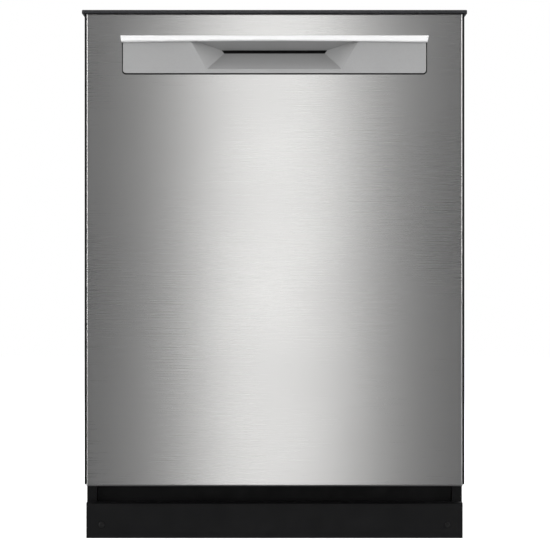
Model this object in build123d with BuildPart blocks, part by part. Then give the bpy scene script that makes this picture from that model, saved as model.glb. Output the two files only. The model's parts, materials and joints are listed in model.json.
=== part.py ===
"""Built-in dishwasher: door, tub, racks, wash system and base, each piece a separate solid.

Millimetres, +Z up, the door faces -Y. The origin is on the floor, under the middle of the machine.
"""
from build123d import *
from math import cos, radians, sin
import os

os.makedirs("parts", exist_ok=True)

# ---------------------------------------------------------------- driving dimensions
SHEET = 1.2                    # tub and liner sheet
SKIN = 1.0                     # outer door skin
CLEAR = 0.4                    # running gap between bodies

# door, front to back
GRIP_Y = -318.0                # front of the grip strip
FACE_Y = -306.0                # front of the stainless skin
CAP_Y = (-308.0, -247.0)       # console cap, front and back
LINER_Y = -244.0               # wet face of the inner liner
DOOR_HALF = 301.0              # half width of the skin
EDGE_HALF = 304.0              # half width over the black edges
CAP_HALF = 308.0               # half width of the console cap
DOOR_Z = (88.5, 844.5)         # skin, bottom and top
CAP_Z = (844.6, 850.5)         # cap plate
LINER_Z = (96.0, 838.0)
RECESS = (262.0, 175.0, 790.0)  # liner recess: half width, bottom, top
RECESS_Y = -253.0

# door hinge
PIVOT_Y = -266.0
PIVOT_Z = 124.0
PIN_R = 5.0

# handle
APERTURE = (244.2, 747.0, 808.8)   # half width, bottom, top
INSERT = (242.5, 749.5, 806.0)
CORNER_R = 5.0                 # lower corners of the insert
POCKET_DEPTH = 30.0

# tub
TUB_HALF = 290.0
TUB_Y = (-238.0, 312.0)
TUB_TOP = 811.2
FLANGE_HALF = 299.0
FLANGE_TOP = 840.0
LEDGE_Z = 150.0
BASIN_Z = 138.0
HUB = (0.0, 10.0)              # spray arm axis
WELL = (0.0, 120.0)            # filter well axis
FLOAT = (214.0, -190.0)

# base
BASE_BACK = 318.0
RAIL_X = (270.0, 298.0)
RAIL_Z = (40.0, 100.0)
KICK_Y = -256.0
KICK_Z = (0.3, 58.0)
KICK_HALF = 304.8
KICK_SCREW = (280.0, 22.0)     # x and z of the two screws
LEG_X = 284.0
LEG_Y = (-170.0, 270.0)
FOOT_R = 18.0

# wash system under the tub
WASH_PUMP = (120.0, 84.0)      # y and z of its shaft, which lies along X
WASH_PUMP_R = 42.0
DRAIN_PUMP = (120.0, 90.0)
DRAIN_X = 130.0                # hose outlet, along Y
DRAIN_Y = (148.0, 182.0)
VALVE_X = (-232.0, -182.0)
VALVE_Y = (-130.0, -80.0)
VALVE_Z = (66.0, 112.0)
INLET_R = 13.3                 # 3/4 inch hose thread
JUNCTION_X = (190.0, 262.0)
JUNCTION_Y = (-196.0, -142.0)
JUNCTION_Z = (63.0, 112.0)
CONDUIT = (226.0, 88.0, 11.1)  # x, z and radius of the cable hole
BRACKET_X = 190.0              # worktop brackets

# racks
WIRE = 1.6                     # radius of a rack wire
RIM = 2.5                      # radius of a rack rim
RACK_HALF = 255.0
RACK_Y = (-216.0, 268.0)
LOWER_Z = (183.8, 332.0)
UPPER_Z = (442.0, 556.0)
RACK_RAIL_Z = (545.0, 575.0)
RACK_RAIL_X = (270.0, 284.0)


# ---------------------------------------------------------------- shared shapes
def face_plane(y):
    """A sketch plane that faces the front at depth y: extrude(amount=-t) runs to the back."""
    return Plane.XZ.offset(-y)


def block(x, y, z, mode=Mode.ADD):
    """A box between two limits along each axis."""
    with Locations(((x[0] + x[1]) / 2, (y[0] + y[1]) / 2, (z[0] + z[1]) / 2)):
        Box(x[1] - x[0], y[1] - y[0], z[1] - z[0], mode=mode)


def both_sides(x, y, z, mode=Mode.ADD):
    """The same box on the right and on the left, mirrored about x = 0."""
    block(x, y, z, mode)
    block((-x[1], -x[0]), y, z, mode)


def span(half):
    """Limits that lie evenly about zero."""
    return (-half, half)


def inside(limits, wall):
    """Limits drawn in by a wall on both sides."""
    return (limits[0] + wall, limits[1] - wall)


def rod(start, end, radius, mode=Mode.ADD):
    """A straight round bar from one point to another."""
    axis = Vector(*end) - Vector(*start)
    middle = (Vector(*start) + Vector(*end)) / 2
    with Locations(Plane(origin=middle, z_dir=axis)):
        Cylinder(radius, axis.length, mode=mode)


def spread(first, last, count):
    """Evenly spaced values from first to last."""
    return [first + (last - first) * step / (count - 1) for step in range(count)]


def keep(part, name):
    """Label a finished piece and write it."""
    part.label = name
    export_step(part, f"parts/{name}.step")


# ---------------------------------------------------------------- door: shell
with BuildPart() as door_outer_panel:
    with BuildSketch(face_plane(FACE_Y)):
        with Locations((0, sum(DOOR_Z) / 2)):
            Rectangle(2 * DOOR_HALF, DOOR_Z[1] - DOOR_Z[0])
    extrude(amount=-16)
    fillet(door_outer_panel.faces().sort_by(Axis.Y)[0].edges(), 2.5)
    block(span(DOOR_HALF - SKIN), (FACE_Y + SKIN, FACE_Y + 20), (DOOR_Z[0] + SKIN, DOOR_Z[1] - SKIN),
          Mode.SUBTRACT)
    with BuildSketch(face_plane(FACE_Y)):
        with Locations((0, sum(APERTURE[1:]) / 2)):
            Rectangle(2 * APERTURE[0], APERTURE[2] - APERTURE[1])
        fillet(vertices().group_by(Axis.Y)[0], CORNER_R + APERTURE[0] - INSERT[0])
    extrude(amount=-2, mode=Mode.SUBTRACT)
keep(door_outer_panel.part, "door_outer_panel")

FRAME_Y = (-289.5, -247.0)     # ring that joins skin and liner
WEB_Y = (-289.5, -284.0)       # shallow stretch in front of the hinge brackets
with BuildPart() as door_frame:
    block(span(EDGE_HALF), FRAME_Y, (91, 814.5))
    block(span(297), (-300, -240), (101, 809), Mode.SUBTRACT)
    both_sides((284, 297), (WEB_Y[1], -240), (90, 101.5), Mode.SUBTRACT)
    both_sides((DOOR_HALF + 0.3, EDGE_HALF), (-303.5, FRAME_Y[0]), (91, DOOR_Z[1] - 0.2))
keep(door_frame.part, "door_frame")

DISPENSER_X = (-100.0, 90.0)
DISPENSER_Z = (430.0, 560.0)
with BuildPart() as door_inner_liner:
    block(span(300), (LINER_Y - SHEET, LINER_Y), LINER_Z)
    block(span(RECESS[0]), (RECESS_Y - SHEET, LINER_Y), RECESS[1:])
    fillet(door_inner_liner.edges().filter_by(Axis.Y).group_by(SortBy.LENGTH)[-1], 18)
    with BuildSketch(face_plane(RECESS_Y)):
        with Locations((0, (RECESS[1] + RECESS[2]) / 2)):
            RectangleRounded(2 * (RECESS[0] - SHEET), RECESS[2] - RECESS[1] - 2 * SHEET, 17)
    extrude(amount=-12, mode=Mode.SUBTRACT)
    block(DISPENSER_X, (-260, -250), DISPENSER_Z, Mode.SUBTRACT)
    block(span(12), (-250, -240), (823, LINER_Z[1] + 1), Mode.SUBTRACT)
    both_sides((286, 301), (-250, -240), (90, 138), Mode.SUBTRACT)
keep(door_inner_liner.part, "door_inner_liner")

with BuildPart() as door_insulation:
    block(span(281), (-281, -258), (115, 738))
    block((DISPENSER_X[0] - 6, DISPENSER_X[1] + 6), (-290, -250), (DISPENSER_Z[0] - 6, DISPENSER_Z[1] + 6),
          Mode.SUBTRACT)
keep(door_insulation.part, "door_insulation")

# ---------------------------------------------------------------- door: handle
POCKET_FRONT = (136.3, 804.6, 108.0, 755.8)  # half width and height of the top and bottom edges
POCKET_BACK = (85.0, 788.3, 81.0, 783.2)
LIP = 0.9                      # rounding where the pocket meets the face


def pocket_outline(shape, grow, y):
    """Trapezoid of the pocket at depth y, grown outwards."""
    top_half, top_z, bottom_half, bottom_z = shape
    with BuildSketch(face_plane(y), mode=Mode.PRIVATE) as outline:
        Polygon((-top_half - grow, top_z + grow), (-bottom_half - grow, bottom_z - grow),
                (bottom_half + grow, bottom_z - grow), (top_half + grow, top_z + grow), align=None)
    return outline.sketch.face()


def pocket(grow, front, back, mode=Mode.ADD):
    """Tapered pocket between the face and the slot."""
    loft([pocket_outline(POCKET_FRONT, grow, front), pocket_outline(POCKET_BACK, grow, back)], mode=mode)


SLOT_Y = FACE_Y + POCKET_DEPTH
with BuildPart() as handle_insert:
    block(span(INSERT[0]), (FACE_Y, FACE_Y + 2.5), INSERT[1:])
    fillet(handle_insert.edges().filter_by(Axis.Y).group_by(Axis.Z)[0], CORNER_R)
    pocket(2, FACE_Y + 1, SLOT_Y)
    pocket(0, FACE_Y, SLOT_Y, Mode.SUBTRACT)
    mouth = handle_insert.faces().sort_by(Axis.Y)[0].inner_wires()[0]
    fillet(mouth.edges(), LIP)
keep(handle_insert.part, "handle_insert")

HOUSING = (143.0, 749.0, 809.0)   # closed box behind the pocket: half width, bottom, top
HOUSING_BACK = -256.5
with BuildPart() as handle_bracket:
    block(span(252), (FACE_Y + 2.5, FACE_Y + 4.5), (739, 814))
    block(span(HOUSING[0]), (FACE_Y + 2.5, HOUSING_BACK), HOUSING[1:])
    block(span(HOUSING[0] - 2), (FACE_Y, HOUSING_BACK - 2), (HOUSING[1] + 2, HOUSING[2] - 2), Mode.SUBTRACT)
keep(handle_bracket.part, "handle_bracket")

with BuildPart() as handle_grip_strip:
    with BuildSketch(face_plane(FACE_Y)):
        with BuildLine():
            Line((-246.3, 808.8), (246.3, 808.8))
            Line((246.3, 808.8), (244.5, 798.6))
            ThreePointArc((244.5, 798.6), (0, 800.6), (-244.5, 798.6))
            Line((-244.5, 798.6), (-246.3, 808.8))
        make_face()
    extrude(amount=FACE_Y - GRIP_Y)
    fillet(handle_grip_strip.faces().sort_by(Axis.Y)[0].edges(), 2)
keep(handle_grip_strip.part, "handle_grip_strip")

# ---------------------------------------------------------------- door: console
BUTTONS = {"power_button": -250.0, "cycle_button": -110.0, "start_button": 250.0}
BUTTON_Y = -268.0
BUTTON_SIZE = (22.0, 14.0)
BOX_Y = (-288.5, -248.0)       # hollow box under the cap
BOX_WALL = 2.5
POSTS_X = (-180.0, 180.0)
BOARD_Z = (826.0, 827.6)
with BuildPart() as console_housing:
    block(span(CAP_HALF), CAP_Y, CAP_Z)
    fillet(console_housing.faces().sort_by(Axis.Z)[-1].edges(), 1.6)
    fillet(console_housing.faces().sort_by(Axis.Z)[0].edges().sort_by(Axis.Y)[0], 1.6)
    block(span(299), BOX_Y, (815.2, CAP_Z[0]))
    block(span(299 - BOX_WALL), (BOX_Y[0] + BOX_WALL, BOX_Y[1] - BOX_WALL), (810, CAP_Z[0]), Mode.SUBTRACT)
    for post_x in POSTS_X:
        rod((post_x, BUTTON_Y, BOARD_Z[1]), (post_x, BUTTON_Y, CAP_Z[0] + 1), 3)
    for button_x in BUTTONS.values():
        with Locations((button_x, BUTTON_Y, CAP_Z[1])):
            Box(BUTTON_SIZE[0] + 2 * CLEAR, BUTTON_SIZE[1] + 2 * CLEAR, 20, mode=Mode.SUBTRACT)
    block(span(12), (-252, -247.5), (823, 838.5), Mode.SUBTRACT)
keep(console_housing.part, "console_housing")

with BuildPart() as control_board:
    block((-275, -45), (-284, -252), BOARD_Z)
    block((45, 275), (-284, -252), BOARD_Z)
    for chip_x in (-230, -150, -80, 70, 110, 215):
        block((chip_x - 9, chip_x + 9), (-276, -262), (BOARD_Z[1], 832))
keep(control_board.part, "control_board")

for button_name, button_x in BUTTONS.items():
    with BuildPart(mode=Mode.PRIVATE) as button:
        with BuildSketch(Plane((button_x, BUTTON_Y, 839))):
            RectangleRounded(*BUTTON_SIZE, 2)
        extrude(amount=12)
        fillet(button.faces().sort_by(Axis.Z)[-1].edges(), 0.6)
        with BuildSketch(Plane((button_x, BUTTON_Y, 838))):
            RectangleRounded(BUTTON_SIZE[0] + 4, BUTTON_SIZE[1] + 4, 2)
        extrude(amount=3)
    keep(button.part, button_name)

# ---------------------------------------------------------------- door: latch and dispenser
LATCH_Z = (817.0, CAP_Z[0])
MOUTH_Z = (825.0, 837.0)
with BuildPart() as latch_housing:
    block(span(32), (-285.5, -251), LATCH_Z)
    block(span(9), (-271, -240), MOUTH_Z, Mode.SUBTRACT)
    block((-6, 6), (-284, -258), (810, 828), Mode.SUBTRACT)
keep(latch_housing.part, "latch_housing")

with BuildPart() as latch_pawl:
    block((-5.4, 5.4), (-270, -260), (819.5, 829.2))
    chamfer(latch_pawl.faces().sort_by(Axis.Y)[-1].edges().sort_by(Axis.Z)[-1], 1.5)
keep(latch_pawl.part, "latch_pawl")

CUP_X = (-82.0, -26.0)
CUP_Z = (455.0, 535.0)
CAP_AXIS = (66.0, 500.0)       # rinse-aid cap
with BuildPart() as dispenser_housing:
    block((-108, 98), (RECESS_Y, -249.5), (422, 568))
    fillet(dispenser_housing.edges().filter_by(Axis.Y), 10)
    block((DISPENSER_X[0] + 0.5, DISPENSER_X[1] - 0.5), (-276, RECESS_Y),
          (DISPENSER_Z[0] + 0.5, DISPENSER_Z[1] - 0.5))
    block(CUP_X, (-273, -240), CUP_Z, Mode.SUBTRACT)
    rod((CAP_AXIS[0], -263, CAP_AXIS[1]), (CAP_AXIS[0], -240, CAP_AXIS[1]), 10.4, Mode.SUBTRACT)
keep(dispenser_housing.part, "dispenser_housing")

with BuildPart() as detergent_lid:
    block((CUP_X[0] - 4, CUP_X[1] + 4), (-249.2, -246.2), (CUP_Z[0] - 5, CUP_Z[1] + 5))
    fillet(detergent_lid.edges().filter_by(Axis.Y), 6)
    block((CUP_X[0] + 12, CUP_X[0] + 18), (-246.2, -244.8), (480, 510))
keep(detergent_lid.part, "detergent_lid")

with BuildPart() as rinse_aid_cap:
    rod((CAP_AXIS[0], -262, CAP_AXIS[1]), (CAP_AXIS[0], -249.2, CAP_AXIS[1]), 10)
    rod((CAP_AXIS[0], -249.2, CAP_AXIS[1]), (CAP_AXIS[0], -246.7, CAP_AXIS[1]), 17)
    block((CAP_AXIS[0] - 2, CAP_AXIS[0] + 2), (-246.7, -244.6), (CAP_AXIS[1] - 15, CAP_AXIS[1] + 15))
keep(rinse_aid_cap.part, "rinse_aid_cap")

ARM_X = (284.0, 287.0)
with BuildPart() as hinge_arms:
    both_sides(ARM_X, (WEB_Y[1], -254), (106, 330))
    for side in (-1, 1):
        rod((side * 280, PIVOT_Y, PIVOT_Z), (side * 295, PIVOT_Y, PIVOT_Z), PIN_R + 0.05, Mode.SUBTRACT)
keep(hinge_arms.part, "hinge_arms")

# ---------------------------------------------------------------- cabinet: tub
with BuildPart() as tub_wrapper:
    block(span(TUB_HALF), TUB_Y, (LEDGE_Z - SHEET, TUB_TOP))
    block(span(FLANGE_HALF), (TUB_Y[0], TUB_Y[0] + SHEET), (LEDGE_Z - SHEET, FLANGE_TOP))
    block(span(TUB_HALF - SHEET), (-250, 320), (100, TUB_TOP - SHEET), Mode.SUBTRACT)
keep(tub_wrapper.part, "tub_wrapper")

INNER = TUB_HALF - SHEET
with BuildPart() as tub_back:
    block(span(INNER), (TUB_Y[1] - SHEET, TUB_Y[1]), (LEDGE_Z, TUB_TOP - SHEET))
keep(tub_back.part, "tub_back")

BASIN_HALF = 240.0
BASIN_Y = (-215.0, 309.0)
with BuildPart() as tub_floor:
    block(span(INNER), (TUB_Y[0], TUB_Y[1]), (LEDGE_Z - SHEET, LEDGE_Z))
    block(span(BASIN_HALF + SHEET), (BASIN_Y[0] - SHEET, BASIN_Y[1] + SHEET), (BASIN_Z - SHEET, LEDGE_Z))
    block(span(BASIN_HALF), BASIN_Y, (BASIN_Z, LEDGE_Z + 1), Mode.SUBTRACT)
    rod((*HUB, 130), (*HUB, 160), 24, Mode.SUBTRACT)
    rod((*WELL, 130), (*WELL, 160), 60, Mode.SUBTRACT)
    rod((*FLOAT, 130), (*FLOAT, 160), 4.6, Mode.SUBTRACT)
keep(tub_floor.part, "tub_floor")

SEAL_X = (289.3, 298.0)
SEAL_Y = (-243.7, -238.0)
SILL_SEAL = 259.0              # the strip along the sill stays between the rack wheels
with BuildPart() as door_seals:
    block(span(SEAL_X[1]), SEAL_Y, (162, 821))
    block(span(SEAL_X[0]), (-250, -230), (150, 812), Mode.SUBTRACT)
    block(span(SILL_SEAL), SEAL_Y, (150.3, 156))
    fillet(door_seals.faces().sort_by(Axis.Y)[0].edges(), 1.5)
keep(door_seals.part, "door_seals")

with BuildPart() as strike_plate:
    block(span(20), (TUB_Y[0] - 1.6, TUB_Y[0]), (823, 839))
    block(span(4), (-267, TUB_Y[0] - 1.6), (830, 833.5))
    block(span(4), (-267, -263.5), (830, 835.2))
keep(strike_plate.part, "strike_plate")

BLANKET_X = 299.0
with BuildPart() as insulation_blanket:
    block(span(BLANKET_X), (-225, 307), (160, 822))
    block(span(TUB_HALF + 0.4), (-240, 320), (150, TUB_TOP + 0.4), Mode.SUBTRACT)
    fillet(insulation_blanket.edges().filter_by(Axis.Y).group_by(Axis.Z)[-1], 8)
keep(insulation_blanket.part, "insulation_blanket")

BRACKET_TOP = 846.0
with BuildPart() as mounting_brackets:
    for side in (-1, 1):
        width = (side * BRACKET_X - 20, side * BRACKET_X + 20)
        block(width, (TUB_Y[0] + SHEET, -234.8), (812, BRACKET_TOP))
        block(width, (-234.8, -198), (BRACKET_TOP - 2, BRACKET_TOP))
        with Locations((side * BRACKET_X, -214, BRACKET_TOP - 1)):
            Cylinder(2.75, 6, mode=Mode.SUBTRACT)
keep(mounting_brackets.part, "mounting_brackets")

# ---------------------------------------------------------------- cabinet: base
def kick_rods(front, back, radius, mode=Mode.ADD):
    """Round bars or holes on the axes of the two toe kick screws."""
    x, z = KICK_SCREW
    for side in (-1, 1):
        rod((side * x, front, z), (side * x, back, z), radius, mode)


CROSS_Y = (-218.0, -197.2)
CROSS_Z = (34.0, 52.0)
with BuildPart() as base_frame:
    both_sides(RAIL_X, (CROSS_Y[1] + 0.2, 299.8), RAIL_Z)
    both_sides((RAIL_X[0] - 1, RAIL_X[1] - 2), (CROSS_Y[1] - 1, 301), (RAIL_Z[0] + 2, RAIL_Z[1] - 2),
               Mode.SUBTRACT)
    for leg_y in LEG_Y:
        with Locations((LEG_X, leg_y, RAIL_Z[0]), (-LEG_X, leg_y, RAIL_Z[0])):
            Cylinder(PIN_R + 0.4, 10, mode=Mode.SUBTRACT)
    block(span(RAIL_X[1]), CROSS_Y, (CROSS_Z[0], CROSS_Z[1]))
    block(span(RAIL_X[1] - 2), (CROSS_Y[0] + 2, CROSS_Y[1]), (CROSS_Z[0] + 2, CROSS_Z[1] - 2), Mode.SUBTRACT)
    both_sides((KICK_SCREW[0] - 10, KICK_SCREW[0] + 10), (-226, CROSS_Y[0]), (12, CROSS_Z[1]))
    block(span(RAIL_X[1]), (300, BASE_BACK), RAIL_Z)
    block(span(RAIL_X[1] - 2), (302, BASE_BACK + 1), (RAIL_Z[0] + 2, RAIL_Z[1] - 2), Mode.SUBTRACT)
    both_sides((RAIL_X[0] + 18, RAIL_X[1]), (200, 280), (RAIL_Z[1] + 0.2, LEDGE_Z - SHEET))
    kick_rods(-230, -216, 2.4, Mode.SUBTRACT)
keep(base_frame.part, "base_frame")

with BuildPart() as hinge_brackets:
    both_sides((290, 294), (-222, -150), (RAIL_Z[1], 146))
    both_sides((272, 294), (-199, -150), (RAIL_Z[1], RAIL_Z[1] + 3))
    both_sides((290, 294), (PIVOT_Y, -222), (PIVOT_Z - 9, PIVOT_Z + 9))
    for side in (-1, 1):
        rod((side * 290, PIVOT_Y, PIVOT_Z), (side * 294, PIVOT_Y, PIVOT_Z), 9)
        rod((side * 282.5, PIVOT_Y, PIVOT_Z), (side * 295.5, PIVOT_Y, PIVOT_Z), PIN_R)
keep(hinge_brackets.part, "hinge_brackets")

SPRING_X = 284.0
SPRING_Y = (-140.0, 60.0)
SPRING_Z = 118.0
SPRING_HOOKS = (-149.0, 200.0)
with BuildPart() as door_springs:
    for side in (-1, 1):
        hook, front, back, tail = [(side * SPRING_X, y, SPRING_Z)
                                   for y in (SPRING_HOOKS[0], *SPRING_Y, SPRING_HOOKS[1])]
        rod(front, back, 8)
        rod(hook, front, 2)
        rod(back, tail, 2)
keep(door_springs.part, "door_springs")

with BuildPart() as toe_kick:
    block(span(KICK_HALF), (KICK_Y, -236), KICK_Z)
    fillet(toe_kick.faces().sort_by(Axis.Z)[-1].edges().sort_by(Axis.Y)[0], 4)
    block(span(KICK_HALF - 2), (KICK_Y + 2, -230), (-1, KICK_Z[1] - 2), Mode.SUBTRACT)
    kick_rods(KICK_Y + 1, -226, 5.5)
    kick_rods(-260, -220, 2.4, Mode.SUBTRACT)
keep(toe_kick.part, "toe_kick")

with BuildPart() as kick_screws:
    kick_rods(KICK_Y - 2, KICK_Y, 4.5)
    kick_rods(KICK_Y, -224, 2)
    fillet(kick_screws.faces().group_by(Axis.Y)[0].edges(), 1)
    for long_x, long_z in ((0.5, 2.5), (2.5, 0.5)):
        both_sides((KICK_SCREW[0] - long_x, KICK_SCREW[0] + long_x), (-259, -257.2),
                   (KICK_SCREW[1] - long_z, KICK_SCREW[1] + long_z), Mode.SUBTRACT)
keep(kick_screws.part, "kick_screws")

PANEL_Z = (52.5, 97.0)
RECESS_HALF = 292.0            # the panel steps back between its two wings
with BuildPart() as access_panel:
    both_sides((RECESS_HALF - 2, 306), (-220, CROSS_Y[0]), PANEL_Z)
    block(span(RECESS_HALF), (-200, -198), PANEL_Z)
    both_sides((RECESS_HALF - 2, RECESS_HALF), (-220, -198), PANEL_Z)
keep(access_panel.part, "access_panel")

for end_name, leg_y in zip(("front", "rear"), LEG_Y):
    for side_name, side in (("left", -1), ("right", 1)):
        with BuildPart(mode=Mode.PRIVATE) as leg:
            rod((side * LEG_X, leg_y, 0), (side * LEG_X, leg_y, 6), FOOT_R)
            fillet(leg.faces().sort_by(Axis.Z)[-1].edges(), 2)
            with BuildSketch(Plane.XY.offset(5.5)):
                with Locations((side * LEG_X, leg_y)):
                    RegularPolygon(9, 6)
            extrude(amount=8)
            rod((side * LEG_X, leg_y, 5), (side * LEG_X, leg_y, 94), PIN_R)
        keep(leg.part, f"leg_{end_name}_{side_name}")

# ---------------------------------------------------------------- cabinet: wash system
with BuildPart() as sump_housing:
    rod((*WELL, 72), (*WELL, BASIN_Z - SHEET), 58)
    rod((*WELL, 133), (*WELL, BASIN_Z - SHEET), 68)
    rod((*HUB, 104), (*HUB, 154), 22)
    rod((*HUB, 130), (*HUB, BASIN_Z - SHEET), 30)
    block(span(20), (HUB[1], WELL[1]), (104, 132))
    rod((*WELL, 75), (*WELL, 150), 55, Mode.SUBTRACT)
    rod((*HUB, 154), (*HUB, 166), 11)
keep(sump_housing.part, "sump_housing")

with BuildPart() as filter_screen:
    rod((*WELL, BASIN_Z), (*WELL, BASIN_Z + 2), 80)
    rod((*WELL, BASIN_Z - 1), (*WELL, BASIN_Z + 3), 42, Mode.SUBTRACT)
keep(filter_screen.part, "filter_screen")

with BuildPart() as filter_cup:
    rod((*WELL, 90), (*WELL, 143), 40)
    rod((*WELL, BASIN_Z + 2.4), (*WELL, 143), 47)
    rod((*WELL, 93), (*WELL, 150), 37.5, Mode.SUBTRACT)
    block((WELL[0] - 37.6, WELL[0] + 37.6), (WELL[1] - 3, WELL[1] + 3), (134, 147))
    fillet(filter_cup.faces().sort_by(Axis.Z)[-1].edges(), 1)
keep(filter_cup.part, "filter_cup")

SUMP_PORT = 58.3               # both pumps plug in at the sump's wall
PORT_R = 12.0
with BuildPart() as wash_pump:
    rod((-205, *WASH_PUMP), (-100, *WASH_PUMP), WASH_PUMP_R)
    rod((-100, *WASH_PUMP), (-72, *WASH_PUMP), WASH_PUMP_R + 8)
    fillet(wash_pump.faces().sort_by(Axis.X)[0].edges(), 5)
    rod((-86, *WASH_PUMP), (-SUMP_PORT, *WASH_PUMP), PORT_R)
    block((-190, -110), (WASH_PUMP[0] - 8, WASH_PUMP[0] + 8), (34, 44))
keep(wash_pump.part, "wash_pump")

with BuildPart() as drain_pump:
    rod((72, *DRAIN_PUMP), (150, *DRAIN_PUMP), 26)
    rod((SUMP_PORT, *DRAIN_PUMP), (73, *DRAIN_PUMP), PORT_R)
    rod((DRAIN_X, *DRAIN_PUMP), (DRAIN_X, DRAIN_Y[0], DRAIN_PUMP[1]), 13)
    rod((DRAIN_X, DRAIN_Y[0], DRAIN_PUMP[1]), (DRAIN_X, DRAIN_Y[1], DRAIN_PUMP[1]), 10)
keep(drain_pump.part, "drain_pump")

with BuildPart() as inlet_valve:
    block(VALVE_X, VALVE_Y, VALVE_Z)
    fillet(inlet_valve.edges().filter_by(Axis.Y), 4)
    valve_x = sum(VALVE_X) / 2
    coil_y = sum(VALVE_Y) / 2
    rod((valve_x, VALVE_Y[0] - 16, 84), (valve_x, VALVE_Y[0], 84), INLET_R)
    rod((valve_x, VALVE_Y[1], 92), (valve_x, VALVE_Y[1] + 20, 92), 6)
    rod((valve_x, coil_y, VALVE_Z[1]), (valve_x, coil_y, 130), 16)
keep(inlet_valve.part, "inlet_valve")

RING_R = 186.0
with BuildPart() as heater_element:
    with Locations((*HUB, 147.5)):
        Torus(RING_R, 4)
    for angle in (45, 135, 225, 315):
        clip_x = HUB[0] + RING_R * cos(radians(angle))
        clip_y = HUB[1] + RING_R * sin(radians(angle))
        block((clip_x - 4, clip_x + 4), (clip_y - 4, clip_y + 4), (BASIN_Z, 148))
keep(heater_element.part, "heater_element")

FEED_Y = (294.0, 308.0)
with BuildPart() as feed_tube:
    block(span(14), (206, FEED_Y[1]), (140, 152))
    block(span(14), FEED_Y, (140, 796))
    block(span(14), (HUB[1], FEED_Y[1]), (782, 796))
    fillet(feed_tube.edges().filter_by(Axis.X).group_by(Axis.Y)[-1], 12)
    rod((*HUB, 782), (*HUB, 796), 20)
    rod((0, FEED_Y[0] - 4.5, 431), (0, FEED_Y[0] + 3, 431), 15)
    rod((*HUB, 768), (*HUB, 790), 7)
keep(feed_tube.part, "feed_tube")

JUNCTION_WALL = 3.0
with BuildPart() as junction_box:
    block(JUNCTION_X, JUNCTION_Y, JUNCTION_Z)
    block(*[inside(limits, JUNCTION_WALL) for limits in (JUNCTION_X, JUNCTION_Y, JUNCTION_Z)], Mode.SUBTRACT)
    hole_x, hole_z, hole_r = CONDUIT
    rod((hole_x, JUNCTION_Y[1] - 5, hole_z), (hole_x, JUNCTION_Y[1] + 2, hole_z), hole_r, Mode.SUBTRACT)
keep(junction_box.part, "junction_box")

GUIDE_Y = (-222.0, -130.0)
GUIDE_Z = (RACK_RAIL_Z[0] - 6.0, RACK_RAIL_Z[1] + 6.0)
with BuildPart() as rail_guides:
    for guide_y in GUIDE_Y:
        length = (guide_y - 12, guide_y + 12)
        both_sides((RACK_RAIL_X[1] + 0.5, INNER), length, GUIDE_Z)
        both_sides((RACK_RAIL_X[0] - 2, INNER), length, (RACK_RAIL_Z[1] + 0.5, GUIDE_Z[1]))
        both_sides((RACK_RAIL_X[0] - 2, INNER), length, (GUIDE_Z[0], RACK_RAIL_Z[0] - 0.5))
keep(rail_guides.part, "rail_guides")


def spray_arm(reach, root, tip, z):
    """Flat two-ended arm with a hub: half length, widths at the hub and tips, and height limits."""
    with BuildPart(mode=Mode.PRIVATE) as arm:
        with BuildSketch(Plane.XY.offset(z[0])):
            for end_x in (tip / 2 - reach, reach - tip / 2):
                Polygon((0, -root / 2), (end_x, -tip / 2), (end_x, tip / 2), (0, root / 2), align=None)
                with Locations((end_x, 0)):
                    Circle(tip / 2)
            Circle(root * 0.62)
        extrude(amount=z[1] - z[0])
        fillet(arm.faces().sort_by(Axis.Z)[-1].edges(), 2.5)
    return arm.part


def jets(reach, z, turn=1):
    """Nozzle holes along both halves of an arm, cut part of the way down from its top."""
    for side in (-1, 1):
        for distance in spread(0.3 * reach, 0.92 * reach, 5):
            with Locations((side * distance, turn * side * 4, z)):
                Cylinder(1.6, 8, mode=Mode.SUBTRACT)


with BuildPart() as lower_spray_arm:
    add(spray_arm(205, 46, 26, (158.5, 171.5)))
    rod((0, 0, 154.6), (0, 0, 160), 20)
    jets(205, 171.5)
    rod((0, 0, 150), (0, 0, 168), 11.4, Mode.SUBTRACT)
keep(Pos(*HUB, 0) * lower_spray_arm.part, "lower_spray_arm")

with BuildPart() as top_spray_arm:
    add(spray_arm(120, 30, 18, (755, 764)))
    jets(120, 755, -1)
    rod((0, 0, 764), (0, 0, 781), 12)
    rod((0, 0, 760), (0, 0, 790), 7.4, Mode.SUBTRACT)
keep(Pos(*HUB, 0) * top_spray_arm.part, "top_spray_arm")

with BuildPart(Plane.XY) as float_dome:
    rod((*FLOAT, 142), (*FLOAT, 162), 17)
    fillet(float_dome.faces().sort_by(Axis.Z)[-1].edges(), 6)
    rod((*FLOAT, 139), (*FLOAT, 150), 14, Mode.SUBTRACT)
    rod((*FLOAT, 116), (*FLOAT, 155), 4)
keep(float_dome.part, "float")


# ---------------------------------------------------------------- racks
def rods(starts, run, radius):
    """Parallel round bars, one from each start, all along the same run."""
    run = Vector(*run)
    with Locations(*[Plane(origin=Vector(*start) + run / 2, z_dir=run) for start in starts]):
        Cylinder(radius, run.length)


STACK = 2 * WIRE + 0.1         # wires that cross lie one on the other
SIDE_Y = spread(RACK_Y[0] + 50, RACK_Y[1] - 50, 7)


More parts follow.
